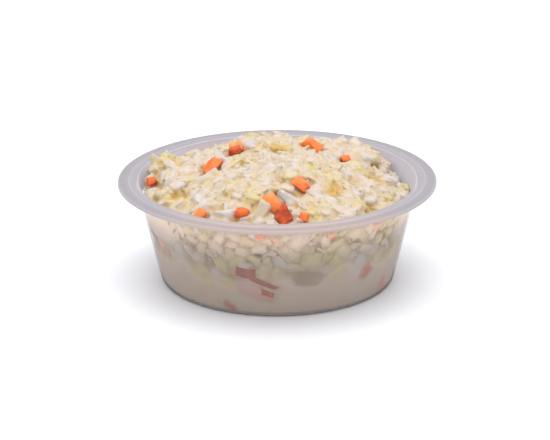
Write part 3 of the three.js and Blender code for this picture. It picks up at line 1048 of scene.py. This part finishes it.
set_places(dressing, np.stack([new_radius * np.cos(angle), new_radius * np.sin(angle), new_z], -1))
print("core:", len(dressing.data.polygons), "faces")

# %% Cream over the core and the bits
VOXEL = 0.58 * MM
OVER_BITS = 0.03  # thickness of the cream over the bits
SMOOTHING = 2
SNAP = 0.9  # mm from the wall within which settled cream is laid against it


def copied(piece):
    """A copy of a piece with a mesh of its own."""
    copy = piece.copy()
    copy.data = piece.data.copy()
    bpy.context.collection.objects.link(copy)
    return copy


bpy.ops.object.select_all(action="DESELECT")
cabbage = cabbage_on_top + cabbage_at_wall
for piece in cabbage + [wall_carrots]:
    copied(piece).select_set(True)
dressing.select_set(True)
bpy.context.view_layer.objects.active = dressing
bpy.ops.object.join()
with_modifier(dressing, "REMESH", mode="VOXEL", voxel_size=VOXEL)
with_modifier(dressing, "SMOOTH", factor=0.5, iterations=SMOOTHING)
points = mesh_places(dressing) + OVER_BITS * mesh_places(dressing, "normal")
angle, radius = round_axis(points)
limit = inside_limit(np.maximum(points[:, 2], FOOT_SKIN))
settled = (points[:, 2] < dressing_level(angle)) & (radius > limit - SNAP)
points[:, :2] *= np.where(settled, (limit + WALL_REACH) / radius, 1)[:, None]
points = pressed(points, WALL_REACH)
set_places(dressing, points)
dressing.data.shade_smooth()
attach(dressing, "root")
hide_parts("coleslaw")
print("dressing:", len(dressing.data.polygons), "faces")

# %% [markdown]
# ### Numbers for the finish
# The cream is thin over the bits and takes on their tints. Between them it lies deep, and there it gets a
# painted darker yellow, which stands for shade and for light that has gone a long way through it. At the
# wall it is painted brighter towards the rim, as light that comes in there, painted dull and darker where it
# stands back from the plastic, as shade, and milky where it has settled. Beside carrot it is stained. No
# texture knows all that, so every vertex gets a few numbers for the finish to read. How deep a vertex lies
# comes from a much smoother copy.

# %% Helpers for the numbers
SOFTENING = 3  # how often a number is averaged with those next to it


def nearest(places, wanted):
    """For each wanted place, the number of the nearest of the places and the distance to it."""
    tree = KDTree(len(places))
    for number, place in enumerate(places):
        tree.insert(place, number)
    tree.balance()
    found = [tree.find(place)[1:] for place in wanted]
    return np.array([number for number, _ in found]), np.array([apart for _, apart in found])


def number_vertices(piece, name, values):
    layer = piece.data.attributes.get(name) or piece.data.attributes.new(name, "FLOAT", "POINT")
    layer.data.foreach_set("value", values)


def tints_of(piece):
    return read_numbers(piece.data.attributes["tint"].data, "value", 1).ravel()


def softened(values):
    """Numbers on the dressing's vertices, averaged a few times with those next to them."""
    edges = read_numbers(dressing.data.edges, "vertices", 2, int)
    a, b = edges.T
    around = np.bincount(edges.ravel(), minlength=len(values))
    for _ in range(SOFTENING):
        total = np.bincount(a, values[b], len(values)) + np.bincount(b, values[a], len(values))
        values = (values + total / np.maximum(around, 1)) / 2
    return values


print("number helpers ready")

# %% Hollows and tints
HOLLOW_SMOOTHING = 40
HOLLOW_DEPTH = 0.42  # mm below the smoother copy at which a hollow counts in full
HOLLOW_AT_WALL = 0.45  # share of that at the wall
# pits get more of the painted crevice shade
PIT_SHADE = 0.75
WHITE_SMEAR = 0.8  # share of the tint that is lost in a smear
# painted light: towards the rim the tints at the wall are whitened
TOP_LIGHT_WHITENING = 0.65  # share that is lost towards the rim
WHITE_FROM, WHITE_OVER = 22.0, 4.0

smoother = copied(dressing)
with_modifier(smoother, "SMOOTH", factor=0.5, iterations=HOLLOW_SMOOTHING)
below = ((mesh_places(smoother) - points) * mesh_places(dressing, "normal")).sum(1)
bpy.data.objects.remove(smoother)
low_down = points[:, 2] < np.minimum(EDGE_LEVEL, edge_level(angle)) - 1
# painted shade: how deep each vertex lies in a crevice or pit, for the finish's darker crevice colour
hollow = np.clip(below / HOLLOW_DEPTH, 0, 1) * np.where(low_down, HOLLOW_AT_WALL, 1)
hollow = np.clip(hollow + np.where(low_down, 0, PIT_SHADE) * in_pit(points[:, 0], points[:, 1]), 0, 1)
number, apart = nearest(np.concatenate([mesh_places(piece) for piece in cabbage]), points)
tints = np.concatenate([tints_of(piece) for piece in cabbage])[number]
near_rim = np.clip((points[:, 2] - WHITE_FROM) / WHITE_OVER, 0, 1)
smear = in_patches(SMEARS, angle, points[:, 2])
# whiter in smears of cream, and towards the rim as painted light
smear_and_light_whitening = np.maximum(WHITE_SMEAR * smear, TOP_LIGHT_WHITENING * near_rim)
number_vertices(dressing, "tint", softened(tints * (1 - smear_and_light_whitening * low_down)))
number_vertices(dressing, "hollow", hollow)
# the bits and carrot dice take the painted crevice shade of the cream next to them
for piece in cabbage + [carrots, wall_carrots]:
    number, _ = nearest(points, mesh_places(piece))
    number_vertices(piece, "hollow", hollow[number])
print("hollows: mean", hollow.mean().round(2))

# %% Cream at the wall
# painted shade: slaw that stands back from the wall gets a darker, duller colour
SET_BACK = 1.1  # mm from the wall at which the slaw behind it looks dull
DULL_BELOW, DULL_OVER, LEAST_DULL = 28.0, 7.0, 0.35  # higher up, light comes in over the rim
# painted light: from here up the cream at the wall is painted brighter, as light through the rim
LIT_FROM, LIT_OVER = 18.5, 6.5  # from here up, light through the rim reaches the cream
LIT_SMEAR = 0.4
SETTLING = 4.0  # mm over which cream at the wall turns to settled dressing
COAT = 0.6  # mm from a bit within which the cream has its tint


def lit_share(places):
    """How much painted light a place at the wall gets, standing for light through the rim, from 0 to 1."""
    rising = np.clip((places[:, 2] - LIT_FROM) / LIT_OVER, 0, 1)
    return rising * np.clip((EDGE_LEVEL + 0.5 - places[:, 2]) / 2, 0, 1)


shade = np.clip((DULL_BELOW - points[:, 2]) / DULL_OVER, LEAST_DULL, 1)
# painted recess shade, weaker higher up where light comes in over the rim
recess_shade = np.clip((limit - radius - 0.1) / SET_BACK, 0, 1) * shade
number_vertices(dressing, "set_back", np.where(low_down, recess_shade, 0))
# painted light at the wall, in the smears as well
number_vertices(dressing, "lit", np.maximum(lit_share(points), LIT_SMEAR * smear) * low_down)
below_level = np.clip((dressing_level(angle) - points[:, 2]) / SETTLING + 0.3, 0, 1)
number_vertices(dressing, "settled", below_level * (radius > limit - 2) * np.clip(apart / COAT, 0, 1))
print("dull vertices:", int((recess_shade * low_down > 0.5).sum()))

# %% Stain round the carrot
STAIN_REACH = 0.5  # mm from a carrot die over which its stain fades
STAIN_SEARCH = 2.0
HALO = 0.3  # stain round a die that shows clearly

stain, paleness = np.zeros(len(points)), np.zeros(len(points))
die, _ = nearest(wall_place, mesh_places(wall_carrots))
clear = at_wall[die, 7] == 1
strengths = np.ones(len(carrots.data.vertices)), np.where(clear, HALO, at_wall[die, 7])
for piece, strength in zip((carrots, wall_carrots), strengths):
    faces = [tuple(face.vertices) for face in piece.data.polygons]
    surface = BVHTree.FromPolygons(mesh_places(piece).tolist(), faces)
    pale = tints_of(piece)
    for number, place in enumerate(points):
        at, out, face, _ = surface.find_nearest(place, STAIN_SEARCH)
        if face is not None:
            corner = faces[face][0]
            share = min(1.2 - (Vector(place) - at).dot(out) / STAIN_REACH, 1) * strength[corner]
            if share > stain[number]:
                stain[number], paleness[number] = share, pale[corner]
number_vertices(dressing, "stain", softened(stain))
number_vertices(dressing, "paleness", paleness)
print("stained vertices:", int((stain > 0.5).sum()))

# %% [markdown]
# ### Before and under the cream
# High up at the wall the bits press against the plastic and look crisp. Lower down the cream has run
# between them and the wall. Now that the skin is made, the bits and dice can be moved: a little out of it,
# or a little under it.

# %% Bits at the wall
CREAMY_BELOW, CREAMY_OVER = 16.5, 3.0  # lower down the cream covers all bits at the wall
UNDER_CREAM = 0.4  # mm by which bits and dice end up under the cream
BEFORE_CREAM = 0.13  # mm by which those that show clearly stand before it


def move_in(piece, inward):
    """Moves the vertices of a piece towards the axis, each by its own distance in mm."""
    places = mesh_places(piece)
    places[:, :2] *= (1 - inward / np.hypot(places[:, 0], places[:, 1]))[:, None]
    set_places(piece, places)


for piece in cabbage_at_wall:
    places = mesh_places(piece)
    # painted light on the bits at the wall too
    number_vertices(piece, "lit", lit_share(places))
    sunk = (CREAMY_BELOW - places[:, 2]) / CREAMY_OVER * UNDER_CREAM
    move_in(piece, np.clip(sunk, -BEFORE_CREAM, UNDER_CREAM))
move_in(wall_carrots, np.where(clear, -BEFORE_CREAM, UNDER_CREAM))
print("dice that show clearly at the wall:", int((at_wall[:, 7] == 1).sum()))

# %% [markdown]
# ## Finishes of the slaw
# The tint of each bit runs from white rib over cream and yellow to pale green, and a fine mottle keeps it
# uneven. The numbers on the vertices then lead to the colours of settled cream and of carrot, and to painted
# light and shade: crevice shade, light towards the rim, and shade where slaw stands back from the wall.
# Cream lets light in and scatters it, so its shadows stay warm and soft: subsurface scattering does that for
# the dressing. The bits are too thin for it. All of it is wet, so it shines softly.

# %% Colours of the slaw
CABBAGE_STOPS = [
    (0.0, (0.65, 0.59, 0.55)),
    (0.2, (0.67, 0.55, 0.45)),
    (0.4, (0.66, 0.55, 0.395)),
    (0.7, (0.67, 0.545, 0.27)),
    (1.0, (0.58, 0.56, 0.25)),
]
CARROT_STOPS = [
    (0.0, (0.3, 0.04, 0.012)),
    (0.25, (0.6, 0.08, 0.018)),
    (0.55, (0.95, 0.2, 0.045)),
    (1.0, (0.97, 0.35, 0.1)),
]
# painted shade: darker colours of cream and carrot in crevices and pits, for shade and deep scattered light
CREVICE_SHADE_CREAM = (0.62, 0.405, 0.1)
CREVICE_SHADE_CARROT = (0.5, 0.055, 0.01)
CREVICE_SHADE_SHARE = 0.9
# painted light: the brighter cream at the wall towards the rim
LIT_CREAM = (0.95, 0.74, 0.57)
# painted shade on slaw that stands back from the wall
RECESS_SHADE = (0.4, 0.29, 0.18)  # what lies behind the wall without touching it
SETTLED = (0.6, 0.49, 0.405)
PALE_FLOOR = (0.935, 0.952, 0.995)
SCATTER = 0.9 * MM
print("colours from", CABBAGE_STOPS[0][1], "to", CARROT_STOPS[0][1])


# %% Cabbage, dressing and carrot
def wet_finish(name, stops, crevice_shade, fine, uneven, scatter):
    """A moist food finish: tint and mottle, changed by painted shade and light, settled cream and stain."""
    material, shader, start = new_finish(
        name, IOR=1.4, Subsurface_Weight=scatter, Subsurface_Radius=(1.0, 0.75, 0.5), Subsurface_Scale=SCATTER
    )
    place = start.node("TexCoord", output="Object")
    mottle = start.node("TexNoise", inputs={"Vector": place, "Scale": fine, "Detail": 2.5, "Roughness": 0.5})
    tint, hollow, lit, set_back, settled, stain, paleness = (
        start.node("Attribute", {"attribute_name": number}, output="Fac")
        for number in ("tint", "hollow", "lit", "set_back", "settled", "stain", "paleness")
    )
    orange = start.node("ValToRGB", {"stops": CARROT_STOPS}, {"Fac": paleness + (mottle - 0.5) * 0.5})
    colour = start.node("ValToRGB", {"stops": stops}, {"Fac": tint + (mottle - 0.5) * uneven})
    changes = (
        # painted crevice shade
        (hollow * CREVICE_SHADE_SHARE, (*crevice_shade, 1)),
        # painted light
        (lit * (0.86 - 0.45 * tint), (*LIT_CREAM, 1)),
        # painted recess shade
        (set_back * 0.9, (*RECESS_SHADE, 1)),
        (settled * (0.3 + 1.1 * mottle), (*SETTLED, 1)),
        (stain * (1.1 - 0.6 * paleness), orange),
    )
    for share, other in changes:
        colour = mixed(share, colour, other)
    set_input(shader, "Base Color", colour)
    set_input(shader, "Roughness", 0.24 + 0.25 * mottle)
    grain = start.node("TexNoise", inputs={"Vector": place, "Scale": 1400.0, "Detail": 2.0})
    relief = mottle + 0.4 * grain
    bump = start.node("Bump", inputs={"Strength": 0.16, "Distance": 0.15 * MM, "Height": relief})
    set_input(shader, "Normal", bump)
    return material


cabbage_finish = wet_finish("cabbage", CABBAGE_STOPS, CREVICE_SHADE_CREAM, 300.0, 0.35, 0.0)
dressing_finish = wet_finish("cream_dressing", CABBAGE_STOPS, CREVICE_SHADE_CREAM, 200.0, 0.35, 0.6)
carrot_finish = wet_finish("carrot", CARROT_STOPS, CREVICE_SHADE_CARROT, 420.0, 1.2, 0.0)
for piece in cabbage:
    piece.data.materials.append(cabbage_finish)
for piece in (carrots, wall_carrots):
    piece.data.materials.append(carrot_finish)
dressing.data.materials.clear()
dressing.data.materials.append(dressing_finish)
floor_finish, _, _ = new_finish("pale_floor", Base_Color=(*PALE_FLOOR, 1), Roughness=0.9)
floor.data.materials.append(floor_finish)
print("finishes:", [material.name for material in bpy.data.materials])
